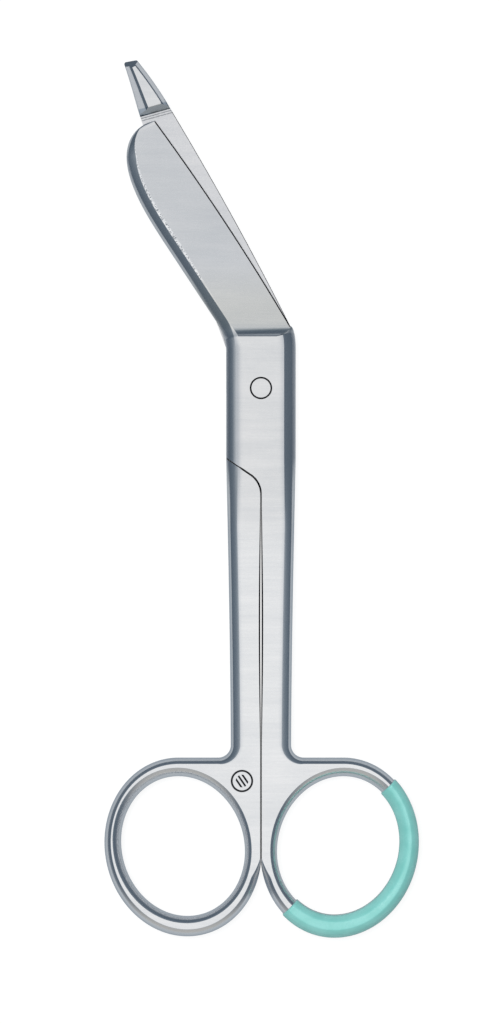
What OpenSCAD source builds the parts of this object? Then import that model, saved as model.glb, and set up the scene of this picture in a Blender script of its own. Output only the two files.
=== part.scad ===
// Bandage scissors, closed and lying flat. The upper half is the one that shows from above.
// The origin is on the rivet's axis at the height of the face that they lie on.
// Each half is drawn as the upper one, with its blade up the page and z measured from the lap
// between the halves. The lower half is then turned over about the long axis.

/* [Joint] */
// Thickness of the closed joint
joint_t = 5.0; // [4.4:0.1:5.6]
// Width of the joint plates
joint_w = 14.3; // [13.4:0.1:15.4]
// Height of the blade heels above the rivet
heel_y = 12.8; // [11.8:0.1:14]
// Width of the rounding from the side of the joint in to the blade heels
heel_in = 1.1; // [0.9:0.05:1.4]
// Height of the same rounding
heel_drop = 4.5; // [3.5:0.1:5]
// Drop from the rivet to the outer end of the joint line
line_y = 14.4; // [13:0.1:16]
// Slope of the joint line across a shank, in degrees
line_slope = 34; // [28:1:38]
// Radius that turns the joint line down between the shanks
line_r = 4.8; // [3.5:0.1:5.2]

/* [Facets along the edges] */
// Width of the steep outer facet beside the joint
steep_w = 1.0; // [0.8:0.05:1.1]
// Width of the flatter inner facet beside the joint
slant_w = 1.4; // [1.2:0.05:1.5]
// Width of the rounding on the spine side of the joint
round_w = 2.9; // [2.5:0.05:3.1]

/* [Blades] */
// Length of the upper blade's cutting edge
blade_len = 50.6; // [44:0.2:56]
// Width of the upper blade
blade_w = 12.2; // [11.6:0.1:13]
// Lean of the upper blade to the left, in degrees
blade_lean = 33.4; // [30:0.2:36]
// Length of the upper blade's rounded end
end_len = 24.5; // [20:0.5:28]
// How far the end of the upper blade slants back to its point
end_slant = 0.8; // [0.4:0.1:1]
// Bow of the upper cutting edge
edge_bow = 0.65; // [0.4:0.05:1]
// Radius of the bend between the joint and the spine
bend_r = 10.6; // [8:0.1:12]
// Width of the facets along the spine
spine_w = 2.0; // [1.7:0.05:2.3]
// Height of the fine bevel along the cutting edges
edge_h = 0.42; // [0.36:0.02:0.5]
// Width of the fine bevel along the cutting edges
edge_w = 0.45; // [0.35:0.05:0.6]
// How far the spine ridge lies below the face of the joint
ridge_drop = 0.35; // [0.25:0.05:0.45]
// Angle between the two blades' long edges, in degrees
blade_splay = 4.5; // [3.5:0.25:5.5]
// Bow of the lower blade's back
back_bow = 0.5; // [0.2:0.05:0.8]
// Width of the lower blade at the foot of the probe
lower_w = 6.4; // [5.8:0.1:7]

/* [Probe tip] */
// Length of the probe past the foot of its ramp
probe_len = 11.7; // [9:0.1:13]
// Thickness of the probe
probe_t = 2.8; // [2.4:0.1:3.2]
// Width of the probe at its blunt end
probe_end_w = 2.6; // [2.3:0.1:3]
// How much further the front of the blunt end reaches than its back
probe_slant = 0.7; // [0.4:0.1:1]
// Length of the ramp up to the probe
ramp_len = 1.4; // [1.2:0.1:1.8]
// Clearance between the upper blade's end and the foot of the ramp
ramp_gap = 1.1; // [0.8:0.1:1.5]
// Length of the chamfer on the blunt end
nose_len = 1.5; // [1.2:0.1:1.8]
// How far the back of the probe sweeps in over its length
probe_sweep = 0.8; // [0.5:0.05:1.1]
// Bow of the probe's front
probe_bow = 0.35; // [0.2:0.05:0.6]

/* [Shanks] */
// Depth of the ring shoulders below the rivet
ring_top = 76; // [68:0.5:84]
// Width of one shank where it meets its ring
shank_w = 6.1; // [5.7:0.1:6.5]
// Fillet between a shank and its ring
ring_fillet = 2.6; // [2:0.1:3.2]
// Clearance between the shanks at both their ends
side_gap = 0.2; // [0.12:0.02:0.3]
// How much wider the gap between the shanks grows at mid-length
side_bow = 0.45; // [0.2:0.05:0.6]

/* [Finger rings] */
// Short axis of a finger hole
hole_w = 25.2; // [22:0.1:27]
// Long axis of a finger hole
hole_l = 29.1; // [26:0.1:31]
// Lean of a finger hole's long axis, in degrees
hole_lean = 15; // [8:1:20]
// Mean width of the ring's stock, seen from above
ring_w = 3.65; // [3.3:0.05:4]
// Depth of the flat where the two rings meet
ring_flat = 0.2; // [0.1:0.02:0.3]
// Thickness of the rings
ring_t = 4.2; // [3.8:0.1:4.3]

/* [Rivet] */
// Diameter of the rivet's shaft
rivet_d = 3.2; // [2.8:0.1:3.4]
// Diameter of the rivet's flush heads
head_d = 4.2; // [4:0.1:4.6]
// Depth of the rivet's heads
head_t = 0.8; // [0.6:0.05:1]
// Chamfer round the rivet's heads
head_rim = 0.12; // [0.08:0.02:0.16]

/* [Coating on one ring] */
// Thickness of the coating
coat_t = 0.3; // [0.2:0.05:0.35]

/* [Clearances] */
// Gap between the two halves' lapped faces
lap_gap = 0.04; // [0.02:0.01:0.08]
// Gap along the joint line
line_gap = 0.24; // [0.16:0.02:0.3]
// Clearance round the rivet in the upper half
run_gap = 0.05; // [0.03:0.01:0.08]
// Clearance round the rivet in the lower half, which holds it fast
hold_gap = 0.01; // [0.005:0.005:0.02]

/* [Hidden] */
$fn = 96;

joint_h = joint_t / 2;
half_w = joint_w / 2;
heel_x = half_w - heel_in;
ring_h = ring_t / 2;
probe_h = probe_t / 2;
lap_z = lap_gap / 2;
overrun = joint_t;

// Shares of an edge's height at which its steep facet starts and its flatter facet starts
foot_share = 0.12;
break_share = 0.6;
// Steep facet's share of the width of the spine's facets, the joint's rounding and a ring's bevels
spine_steep_share = 0.3;
round_steep_share = 0.4;
ring_steep_share = 0.4;
// Heights and widths of the fine bevel at a cutting edge, as shares of its height and width
edge_low_share = 0.3;
edge_mid_share = 0.5;
edge_in_share = 0.35;
// Share by which the spine ridge gets lower from the joint to the end
thin_share = 0.18;
// Curves of the blade's end, of its slant and of the spread of the stations round it
end_power = 3;
slant_power = 6;
spread_power = 1.5;
// Share of the bend's distance up the blade where its cutting edge has its last station
edge_stop_share = 0.25;
// Where across the blade's width the spine's facets fade out
fade_start_share = 0.3;
fade_end_share = 0.75;
fade_least_share = 0.08;
// Curve by which the shanks narrow
shank_power = 1.5;
// Share of a shank's width that is drawn past the middle line and cut away again, and how far its
// stations lag behind the ring's shoulder, as a share of the ring's stock
waste_share = 0.6;
lag_share = 0.6;
// Width of the ring's stock and of its inner and outer bevels round the ring, as shares of the
// mean width: the mean, then by the cosine, the sine and the double cosine of the direction
stock_shares = [1, 0, -0.04, -0.07];
bevel_in_shares = [0.4, 0.05, 0.14, 0];
bevel_out_shares = [0.37, 0, -0.07, 0];
// Facets of the probe, as shares of its thickness
probe_back_shares = [0.16, 0.23];
probe_front_foot_shares = [0.62, 0.22];
probe_front_end_shares = [0.26, 0.17];
probe_break_share = 0.52;
// Height of the blunt end, and how much narrower each of its sides is, as shares
nose_share = 0.4;
nose_in_share = 0.125;
// Degrees between the stations round a ring, and where the coating starts and ends there
ring_step = 5;
coat_from = 45;
coat_to = -135;
coat_lip_share = 0.35;
// How far the coating's corners move out and up, as shares of its thickness
grow_shares = [0.8, 0.6, 0.3];

function unit(v) = v / norm(v);
function mix(a, b, t) = a * (1 - t) + b * t;
function clamp01(t) = max(0, min(1, t));
// Unit vector that leans a degrees to the right of straight up, and the one to the right of it
function along(a) = [sin(a), cos(a)];
function across(a) = [cos(a), -sin(a)];

// Arc of radius r that rounds the corner p of a path whose heading, in degrees to the right of
// straight up, turns from a to b
function fillet(p, a, b, r, n) =
    let (turn = b - a, cut = r * tan(abs(turn) / 2), sgn = sign(turn),
         centre = p - along(a) * cut + across(a) * r * sgn)
    [for (i = [0 : n]) centre - across(a + turn * i / n) * r * sgn];

// An edge's facets: widths of the steep and the flatter one, then the heights where the steep one
// starts, where they meet and where the flatter one ends
function facets(steep, slant, h) = [steep, slant, h * foot_share, h * break_share, h];
function split_facets(w, share, h) = facets(w * share, w * (1 - share), h);
edge_facets = [edge_w * edge_in_share, edge_w * (1 - edge_in_share),
    edge_h * edge_low_share, edge_h * edge_mid_share, edge_h];

// A solid through stations down its length. A station is [left point, right point, left facets,
// right facets]. Where both points are the same, the solid closes in one column of corners.
function is_column(s) = norm(s[0] - s[1]) == 0;
function inward(rows, i, k) =
    is_column(rows[i])
    ? unit(mix(rows[i == 0 ? 1 : i - 1][0], rows[i == 0 ? 1 : i - 1][1], 0.5) - rows[i][0])
    : let (a = rows[max(i - 1, 0)][k], b = rows[min(i + 1, len(rows) - 1)][k], t = unit(b - a))
      k == 0 ? [-t[1], t[0]] : [t[1], -t[0]];
function side_points(p, n, f) = [
    [p[0], p[1], f[2]],
    [p[0] + n[0] * f[0], p[1] + n[1] * f[0], f[3]],
    [p[0] + n[0] * (f[0] + f[1]), p[1] + n[1] * (f[0] + f[1]), f[4]]];
function flipped(q) = [for (p = q) [p[0], p[1], -p[2]]];
function reversed(q) = [for (i = [len(q) - 1 : -1 : 0]) q[i]];
function section(rows, i) =
    let (l = side_points(rows[i][0], inward(rows, i, 0), rows[i][2]),
         r = side_points(rows[i][1], inward(rows, i, 1), rows[i][3]))
    is_column(rows[i]) ? concat(l, flipped(l))
    : concat(l, reversed(r), flipped(r), flipped(reversed(l)));
column_corners = [0, 1, 2, 2, 1, 0, 3, 4, 5, 5, 4, 3];
function triangles(q) = [[q[0], q[1], q[2]], [q[0], q[2], q[3]]];
function real_faces(faces) =
    [for (f = faces) if (f[0] != f[1] && f[1] != f[2] && f[2] != f[0]) f];

module station_solid(rows) {
    sections = [for (i = [0 : len(rows) - 1]) section(rows, i)];
    starts = [for (i = 0, s = 0; i < len(rows); s = s + len(sections[i]), i = i + 1) s];
    function corner(i, j) =
        starts[i] + (is_column(rows[i]) ? column_corners[j % 12] : j % 12);
    strips = [for (i = [0 : len(rows) - 2], j = [0 : 11])
        each triangles([corner(i, j), corner(i, j + 1), corner(i + 1, j + 1), corner(i + 1, j)])];
    cap = is_column(rows[0]) ? [] : [[for (j = [11 : -1 : 0]) corner(0, j)]];
    polyhedron(points = [for (s = sections) each s], faces = concat(real_faces(strips), cap));
}

// A finger hole and the ring round it, by the direction a of the stock's outward normal
hole_a = hole_w / 2;
hole_b = hole_l / 2;
hole_half_x = norm([hole_a * cos(hole_lean), hole_b * sin(hole_lean)]);
hole_half_y = norm([hole_a * sin(hole_lean), hole_b * cos(hole_lean)]);
hole_mid = [side_gap / 2 + stock(180) - ring_flat + hole_half_x, -ring_top - stock(90) - hole_half_y];
function normal_at(a) = [cos(a), sin(a)];
function hole_at(a) =
    let (t = atan2(hole_b * sin(a + hole_lean), hole_a * cos(a + hole_lean)),
         x = hole_a * cos(t), y = hole_b * sin(t))
    hole_mid + across(hole_lean) * x + along(hole_lean) * y;
function ring_at(a) = hole_at(a) + normal_at(a) * stock(a);
function round_share(s, a) = s[0] + s[1] * cos(a) + s[2] * sin(a) + s[3] * cos(2 * a);
function stock(a) = ring_w * round_share(stock_shares, a);
function bevel_in(a) = ring_w * round_share(bevel_in_shares, a);
function bevel_out(a) = ring_w * round_share(bevel_out_shares, a);
function ring_facets(a) = split_facets(bevel_out(a), ring_steep_share, ring_h);

// Fillet between a shank and its ring, which it meets where the ring's normal points to top_a
top_a = 90;
shank_edge = side_gap / 2 + shank_w;
ring_start = ring_at(top_a);
fillet_corner = [shank_edge, ring_start[1] + (ring_start[0] - shank_edge) * cos(top_a) / sin(top_a)];

// Height of the flat faces above the lap: full at the joint, then falling to the rings
taper_from = -line_y - line_r;
taper_to = fillet_corner[1] + ring_fillet * tan(top_a / 2);
function land_h(y) = mix(joint_h, ring_h, clamp01((taper_from - y) / (taper_from - taper_to)));

// Outer side of a shank
function shank_x(y) =
    let (t = clamp01((y - taper_to) / (-line_y - taper_to)))
    shank_edge + (half_w - shank_edge) * pow(t, shank_power);

// Stations below the heels, the same in both halves. The left side is waste past the joint line.
waste_x = -shank_w * waste_share;
waste_top = -ring_top - ring_w * lag_share;
fillet_n = 5;
shank_n = 9;
joint_round = split_facets(round_w, round_steep_share, joint_h);
function shank_facets(y) =
    let (t = clamp01((-line_y - y) / (ring_top - line_y)))
    facets(mix(steep_w, bevel_out(top_a) * ring_steep_share, t),
           mix(slant_w, bevel_out(top_a) * (1 - ring_steep_share), t), land_h(y));
joint_rows = [for (y = [0, -line_y])
    [[-half_w, y], [half_w, y], joint_round, shank_facets(y)]];
shank_rows = [for (i = [0 : shank_n])
    let (y = mix(-line_y - 2 * line_r, taper_to, i / shank_n))
    [[i == 0 ? -half_w : waste_x, y], [shank_x(y), y], shank_facets(y), shank_facets(y)]];
fillet_points = fillet(fillet_corner, 180, 180 - top_a, ring_fillet, fillet_n);
fillet_rows = [for (i = [1 : fillet_n])
    [[waste_x, mix(taper_to, waste_top, i / fillet_n)], fillet_points[i],
     ring_facets(top_a), ring_facets(top_a)]];
ring_rows = concat(
    [for (a = [top_a : -ring_step : 0])
        let (y = mix(waste_top, hole_mid[1] + ring_w, (top_a + ring_step - a) / (top_a + ring_step)))
        [[waste_x, y], ring_at(a), ring_facets(a), ring_facets(a)]],
    [for (a = [-ring_step : -ring_step : -90])
        [ring_at(180 - a), ring_at(a), ring_facets(180 - a), ring_facets(a)]]);
handle_rows = concat(joint_rows, shank_rows, fillet_rows, ring_rows);

// Rounding of the joint's side at a heel, by the angle a from the heel down
function heel_at(a) = [heel_x + heel_in * sin(a), heel_y - heel_drop * (1 - cos(a))];
function mirrored(p) = [-p[0], p[1]];

// Upper blade: s runs up its cutting edge from the heel, d runs across to the spine
end_from = blade_len - end_len;
function upper_at(s, d) = [heel_x, heel_y] + along(-blade_lean) * s - across(-blade_lean) * d;
function bow_at(s) = 4 * edge_bow * (s / blade_len) * (1 - s / blade_len);
function edge_at(s) = upper_at(s, -bow_at(s));
function end_d(t) = blade_w * pow(max(0, cos(t)), 2 / end_power);
function end_s(t) = end_from + end_len * pow(sin(t), 2 / end_power)
    - end_slant * (pow(1 - end_d(t) / blade_w, slant_power) - 1);
function fade(d) = mix(fade_least_share, 1,
    clamp01((d / blade_w - fade_start_share) / (fade_end_share - fade_start_share)));
function ridge_h(s, d) = edge_h + (joint_h - ridge_drop - edge_h)
    * min(1, (d / blade_w) / (1 - spine_w / blade_w)) * (1 - thin_share * s / blade_len);
function spine_facets(s, d) =
    let (w = spine_w * fade(d))
    split_facets(w, spine_steep_share, ridge_h(s, max(0, d - w)));
end_n = 16;
bend_n = 4;
bend_y = upper_at((upper_at(0, blade_w)[0] + half_w) / sin(blade_lean), blade_w)[1];
bend_points = fillet([-half_w, bend_y], 180 - blade_lean, 180, bend_r, bend_n);
bend_s = (bend_points[0] - [heel_x, heel_y]) * along(-blade_lean);
end_rows = [for (i = [0 : end_n])
    let (q = i / end_n, t = 90 * (1 - pow(q, spread_power)), s = end_s(t), d = end_d(t),
         e = mix(end_from, end_s(90), sin(t)))
    i == 0 ? [edge_at(e), edge_at(e), edge_facets, edge_facets]
    : [upper_at(s, d), edge_at(e), spine_facets(s, d), edge_facets]];
blade_n = 4;
blade_rows = [for (i = [1 : blade_n])
    let (s = mix(end_from, bend_s, i / blade_n),
         e = mix(end_from, bend_s * edge_stop_share, i / blade_n))
    [upper_at(s, blade_w), edge_at(e), spine_facets(s, blade_w), edge_facets]];
bend_rows = [for (i = [1 : bend_n])
    let (t = i / bend_n, w = mix(spine_w, round_w, t),
         h = i == 1 ? joint_h - ridge_drop : joint_h)
    [bend_points[i], heel_at(90 * (i - 1) / (bend_n - 1)),
     split_facets(w, mix(spine_steep_share, round_steep_share, t), h),
     i == 1 ? edge_facets : facets(steep_w, slant_w, joint_h)]];
upper_rows = concat(end_rows, blade_rows, bend_rows, handle_rows);

// Lower blade: s runs up its back from the heel, d runs across to the cutting edge
back_lean = blade_lean - blade_splay;
function lower_at(s, d) = [-heel_x, heel_y] + along(back_lean) * s + across(back_lean) * d;
function back_d(s) = -4 * back_bow * (s / foot_s) * (1 - min(1, s / foot_s));
function s_on_back(p) = (mirrored(p) - [-heel_x, heel_y]) * along(back_lean);
foot_s = max([for (r = end_rows) s_on_back(r[0])]) + ramp_gap;
edge_heel = heel_at(90);
edge_heel_s = (edge_heel - [-heel_x, heel_y]) * along(back_lean);
edge_heel_d = (edge_heel - [-heel_x, heel_y]) * across(back_lean);
function lower_w_at(s) = mix(edge_heel_d, lower_w, (s - edge_heel_s) / (foot_s - edge_heel_s));
function lower_ridge_h(s) = mix(joint_h - ridge_drop, probe_h, s / foot_s);
function probe_row(t, in, h) =
    let (s = foot_s + probe_len * t, front = mix(probe_front_foot_shares, probe_front_end_shares, t),
         back = probe_sweep * t * t + 4 * back_bow * probe_len / foot_s * t,
         front_d = mix(lower_w, back + probe_end_w, t) + 4 * probe_bow * t * (1 - t))
    [lower_at(s - probe_slant * t / 2, back + in),
     lower_at(s + probe_slant * t / 2, front_d - in),
     [probe_t * probe_back_shares[0], probe_t * probe_back_shares[1],
      h * foot_share, h * probe_break_share, h],
     [probe_t * front[0], probe_t * front[1], h * foot_share, h * probe_break_share, h]];
nose_t = 1 - nose_len / probe_len;
probe_n = 5;
lower_n = 8;
heel_n = 3;
lower_rows = concat(
    [probe_row(1, probe_end_w * nose_in_share, probe_h * nose_share)],
    [for (i = [probe_n : -1 : 0])
        probe_row(mix(ramp_len / probe_len, nose_t, i / probe_n), 0, probe_h)],
    [for (i = [0 : lower_n])
        let (t = i / lower_n, s = mix(foot_s - ramp_len, 0, t),
             e = mix(foot_s - ramp_len, edge_heel_s, t))
        [lower_at(s, back_d(s)), lower_at(e, lower_w_at(e)),
         split_facets(spine_w, spine_steep_share, lower_ridge_h(s)), edge_facets]],
    [for (i = [1 : heel_n])
        [mirrored(heel_at(90 * i / heel_n)), [half_w, edge_heel[1] - heel_in * i],
         split_facets(mix(spine_w, round_w, i / heel_n), round_steep_share, joint_h),
         facets(steep_w, slant_w, joint_h)]],
    handle_rows);

// Cuts that leave each half half as thick at the joint. The joint line crosses from one side at
// the given slope, turns down and runs between the shanks.
side_n = 10;
side_from = -line_y - (half_w + side_gap / 2) * tan(line_slope) - line_r;
side_to = hole_mid[1] - hole_half_y;
function side_x(y) =
    let (t = clamp01((side_from - y) / (side_from - taper_to)))
    side_gap / 2 + side_bow / 2 * sin(180 * t);
side_points_down = concat(
    [for (i = [1 : side_n]) let (y = mix(side_from, taper_to, i / side_n)) [side_x(y), y]],
    [[side_gap / 2, side_to - ring_w - overrun]]);
// The line as it comes in from the left (sgn -1) or from the right (sgn 1), moved up by lift
line_n = 6;
function joint_line(sgn, lift) =
    let (x = sgn * (half_w + overrun), reach = half_w + overrun - sgn * side_gap / 2,
         y = -line_y + overrun * tan(line_slope) + lift)
    concat([[x, y]],
        fillet([side_gap / 2, y - reach * tan(line_slope)],
            -sgn * (90 + line_slope), -sgn * 180, line_r, line_n),
        side_points_down);

module own_line_cut() {
    line = joint_line(-1, line_gap / 2);
    translate([0, 0, lap_z])
        linear_extrude(joint_h + overrun)
            polygon(concat(line, [[-half_w - overrun, line[len(line) - 1][1]]]));
}

module lap_plan() {
    line = joint_line(1, -line_gap / 2);
    reach = blade_len + probe_len;
    polygon(concat(line, [[-half_w - overrun, line[len(line) - 1][1]],
        [-half_w - overrun, 0], [-reach, 0], [-reach, reach + probe_len + heel_y],
        [reach, reach + probe_len + heel_y], [reach, line[0][1]]]));
}

module upper_lap_cut() {
    translate([0, 0, -joint_h - overrun])
        linear_extrude(joint_h + overrun + lap_z) lap_plan();
}

// In the lower half the lap ends at the ramp that climbs to the probe
module lower_lap_cut() {
    deep = joint_h + overrun;
    run = ramp_len * (deep + lap_z) / (probe_h + lap_z);
    far = 2 * (blade_len + ring_top);
    intersection() {
        translate([0, 0, -deep]) linear_extrude(deep + overrun) lap_plan();
        translate([-heel_x, heel_y, 0]) rotate([0, 0, -back_lean]) rotate([90, 0, 90])
            translate([0, 0, -far]) linear_extrude(2 * far)
                polygon([[-far, lap_z], [foot_s, lap_z], [foot_s + run, -deep], [-far, -deep]]);
    }
}

// The finger hole with its bevels, as one closed skin of level rings
module finger_hole_cut() {
    angles = [for (a = [180 : -ring_step : ring_step - 180]) a];
    count = len(angles);
    levels = [3, 2, 1, 0, 0, 1, 2, 3];
    function level_z(m) = [ring_h * foot_share, ring_h * break_share, ring_h, ring_h + overrun][m];
    function level_in(m, a) = bevel_in(a) * [0, ring_steep_share, 1, 1][m];
    points = [for (q = [0 : 7], a = angles)
        let (m = levels[q], p = hole_at(a) + normal_at(a) * level_in(m, a))
        [p[0], p[1], (q < 4 ? -1 : 1) * level_z(m)]];
    walls = [for (q = [0 : 6], i = [0 : count - 1])
        let (n = (i + 1) % count)
        each triangles([q * count + i, q * count + n, (q + 1) * count + n, (q + 1) * count + i])];
    polyhedron(points = points, faces = concat(walls,
        [[for (i = [count - 1 : -1 : 0]) i]], [[for (i = [0 : count - 1]) 7 * count + i]]));
}

// Hole for the rivet with seats for its two heads, from the underside up
module rivet_hole(gap) {
    r = rivet_d / 2 + gap;
    head_r = head_d / 2 + gap;
    rotate_extrude()
        polygon([[0, -overrun], [head_r + head_rim, -overrun], [head_r + head_rim, 0],
            [head_r, head_rim], [r, head_t], [r, joint_t - head_t], [head_r, joint_t - head_rim],
            [head_r + head_rim, joint_t], [head_r + head_rim, joint_t + overrun],
            [0, joint_t + overrun]]);
}

module upper_half() {
    color("gainsboro")
        difference() {
            translate([0, 0, joint_h])
                difference() {
                    station_solid(upper_rows);
                    own_line_cut();
                    upper_lap_cut();
                    finger_hole_cut();
                }
            rivet_hole(run_gap);
        }
}

module lower_half() {
    color("silver")
        difference() {
            translate([0, 0, joint_h])
                rotate([0, 180, 0])
                    difference() {
                        station_solid(lower_rows);
                        own_line_cut();
                        lower_lap_cut();
                        finger_hole_cut();
                    }
            rivet_hole(hold_gap);
        }
}

module pivot_rivet() {
    r = rivet_d / 2;
    head_r = head_d / 2;
    color("whitesmoke")
        rotate_extrude()
            polygon([[0, 0], [head_r - head_rim, 0], [head_r, head_rim], [r, head_t],
                [r, joint_t - head_t], [head_r, joint_t - head_rim],
                [head_r - head_rim, joint_t], [0, joint_t]]);
}

// The ring's section at the direction a, as [distance from the hole, height], grown by g
function ring_section(a, g) =
    let (w = bevel_in(a), v = bevel_out(a),
         quarter = [
            [-g, ring_h * foot_share],
            [w * ring_steep_share - g * grow_shares[0], ring_h * break_share + g * grow_shares[1]],
            [w - g * grow_shares[2], ring_h + g], [stock(a) - v + g * grow_shares[2], ring_h + g],
            [stock(a) - v * ring_steep_share + g * grow_shares[0],
                ring_h * break_share + g * grow_shares[1]],
            [stock(a) + g, ring_h * foot_share]])
    concat(quarter, [for (p = reversed(quarter)) [p[0], -p[1]]]);

module ring_coating() {
    angles = [for (a = [coat_from : -ring_step : coat_to]) a];
    last = len(angles) - 1;
    function grow(i) = coat_t * (i == 0 || i == last ? coat_lip_share : 1);
    function loop(a, g) = [for (p = ring_section(a, g))
        let (q = hole_at(a) + normal_at(a) * p[0]) [q[0], q[1], p[1]]];
    points = [for (i = [0 : last]) each concat(loop(angles[i], grow(i)), loop(angles[i], 0))];
    function outer(i, j) = i * 24 + j % 12;
    function inner(i, j) = outer(i, j) + 12;
    skin = [for (i = [0 : last - 1], j = [0 : 11]) each concat(
        triangles([outer(i, j), outer(i, j + 1), outer(i + 1, j + 1), outer(i + 1, j)]),
        triangles([inner(i, j), inner(i + 1, j), inner(i + 1, j + 1), inner(i, j + 1)]))];
    lips = [for (j = [0 : 11]) each concat(
        triangles([outer(0, j), inner(0, j), inner(0, j + 1), outer(0, j + 1)]),
        triangles([outer(last, j), outer(last, j + 1), inner(last, j + 1), inner(last, j)]))];
    color("mediumaquamarine")
        translate([0, 0, joint_h])
            polyhedron(points = points, faces = concat(skin, lips));
}

upper_half();
lower_half();
pivot_rivet();
ring_coating();
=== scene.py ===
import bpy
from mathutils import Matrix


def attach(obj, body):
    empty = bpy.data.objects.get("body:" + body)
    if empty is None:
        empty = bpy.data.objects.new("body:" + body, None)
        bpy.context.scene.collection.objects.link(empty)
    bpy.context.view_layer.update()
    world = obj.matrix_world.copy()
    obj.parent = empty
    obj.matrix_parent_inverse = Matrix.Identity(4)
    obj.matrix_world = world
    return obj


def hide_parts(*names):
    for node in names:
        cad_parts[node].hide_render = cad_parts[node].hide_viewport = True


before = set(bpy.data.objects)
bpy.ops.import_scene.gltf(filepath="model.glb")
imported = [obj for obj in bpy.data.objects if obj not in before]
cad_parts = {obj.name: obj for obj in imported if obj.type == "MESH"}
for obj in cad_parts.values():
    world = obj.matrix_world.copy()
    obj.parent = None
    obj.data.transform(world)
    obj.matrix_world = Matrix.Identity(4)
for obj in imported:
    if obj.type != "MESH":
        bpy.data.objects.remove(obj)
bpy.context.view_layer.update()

from math import atan2, cos, hypot, pi, radians, sin, tan

import bmesh
import bpy
import numpy as np
from mathutils import Matrix, Vector

mm = 0.001
collection = bpy.context.scene.collection


# Camera, straight above the closed scissors
cameraLook = {
    "aim": (-2.25, -25.42),  # mm, the point at the picture's centre
    "height": 704.7,  # mm above the rest plane
    "lens": 120.0,
    "sensor": 36.0,  # along the picture's long side
}
cameraData = bpy.data.cameras.new("camera")
cameraData.lens = cameraLook["lens"]
cameraData.sensor_width = cameraLook["sensor"]
cameraData.clip_start = 0.01
cameraData.clip_end = 20.0
camera = bpy.data.objects.new("camera", cameraData)
camera.location = (cameraLook["aim"][0] * mm, cameraLook["aim"][1] * mm, cameraLook["height"] * mm)
collection.objects.link(camera)
bpy.context.scene.camera = camera
print("camera is set")


# Shader maths: a wire is one socket, and an expression on wires adds its Math nodes
class Wire:
    def __init__(self, kit, socket):
        self.kit = kit
        self.socket = socket

    def math(self, operation, other=None, third=None, flip=False):
        first, second = (other, self) if flip else (self, other)
        values = {i: v for i, v in enumerate((first, second, third)) if v is not None}
        return self.kit.node("ShaderNodeMath", {"operation": operation}, values)

    def __add__(self, other): return self.math("ADD", other)
    def __radd__(self, other): return self.math("ADD", other, flip=True)
    def __sub__(self, other): return self.math("SUBTRACT", other)
    def __rsub__(self, other): return self.math("SUBTRACT", other, flip=True)
    def __mul__(self, other): return self.math("MULTIPLY", other)
    def __rmul__(self, other): return self.math("MULTIPLY", other, flip=True)
    def __truediv__(self, other): return self.math("DIVIDE", other)
    def __rtruediv__(self, other): return self.math("DIVIDE", other, flip=True)
    def __pow__(self, other): return self.math("POWER", other)
    def __gt__(self, other): return self.math("GREATER_THAN", other)
    def __lt__(self, other): return self.math("LESS_THAN", other)
    def __abs__(self): return self.math("ABSOLUTE")


class NodeKit:
    def __init__(self, tree):
        self.tree = tree
        tree.nodes.clear()

    def put(self, socket, value):
        if isinstance(value, Wire):
            self.tree.links.new(value.socket, socket)
        elif hasattr(value, "__len__") and socket.type == "RGBA" and len(value) == 3:
            socket.default_value = (*value, 1.0)
        else:
            socket.default_value = value

    def node(self, kind, settings=None, values=None, output=0):
        made = self.tree.nodes.new(kind)
        for name, value in (settings or {}).items():
            if name == "stops":
                ramp = made.color_ramp
                while len(ramp.elements) < len(value):
                    ramp.elements.new(0.5)
                for element, (place, colour) in zip(ramp.elements, value):
                    element.position = place
                    element.color = (*colour, 1.0)
            else:
                setattr(made, name, value)
        for name, value in (values or {}).items():
            self.put(made.inputs[name], value)
        if output is None:
            return made
        return Wire(self, made.outputs[output])

    def split(self, vector):
        made = self.node("ShaderNodeSeparateXYZ", {}, {0: vector}, None)
        return [Wire(self, socket) for socket in made.outputs]

    def join(self, x, y, z):
        return self.node("ShaderNodeCombineXYZ", {}, {0: x, 1: y, 2: z})

    def blend(self, factor, first, second):
        return self.node(
            "ShaderNodeMix", {"data_type": "RGBA"}, {0: factor, 6: first, 7: second}, 2)

    def span(self, value, low, high, start=0.0, end=1.0):
        return self.node(
            "ShaderNodeMapRange", {"interpolation_type": "SMOOTHSTEP"},
            {0: value, 1: low, 2: high, 3: start, 4: end})

    def noise(self, place, scale, detail=2.0, rough=0.5):
        return self.node("ShaderNodeTexNoise", {}, {
            "Vector": place, "Scale": scale, "Detail": detail, "Roughness": rough})


def srgb(*levels):
    shares = [level / 255 for level in levels]
    return tuple(s / 12.92 if s <= 0.04045 else ((s + 0.055) / 1.055) ** 2.4 for s in shares)


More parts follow.
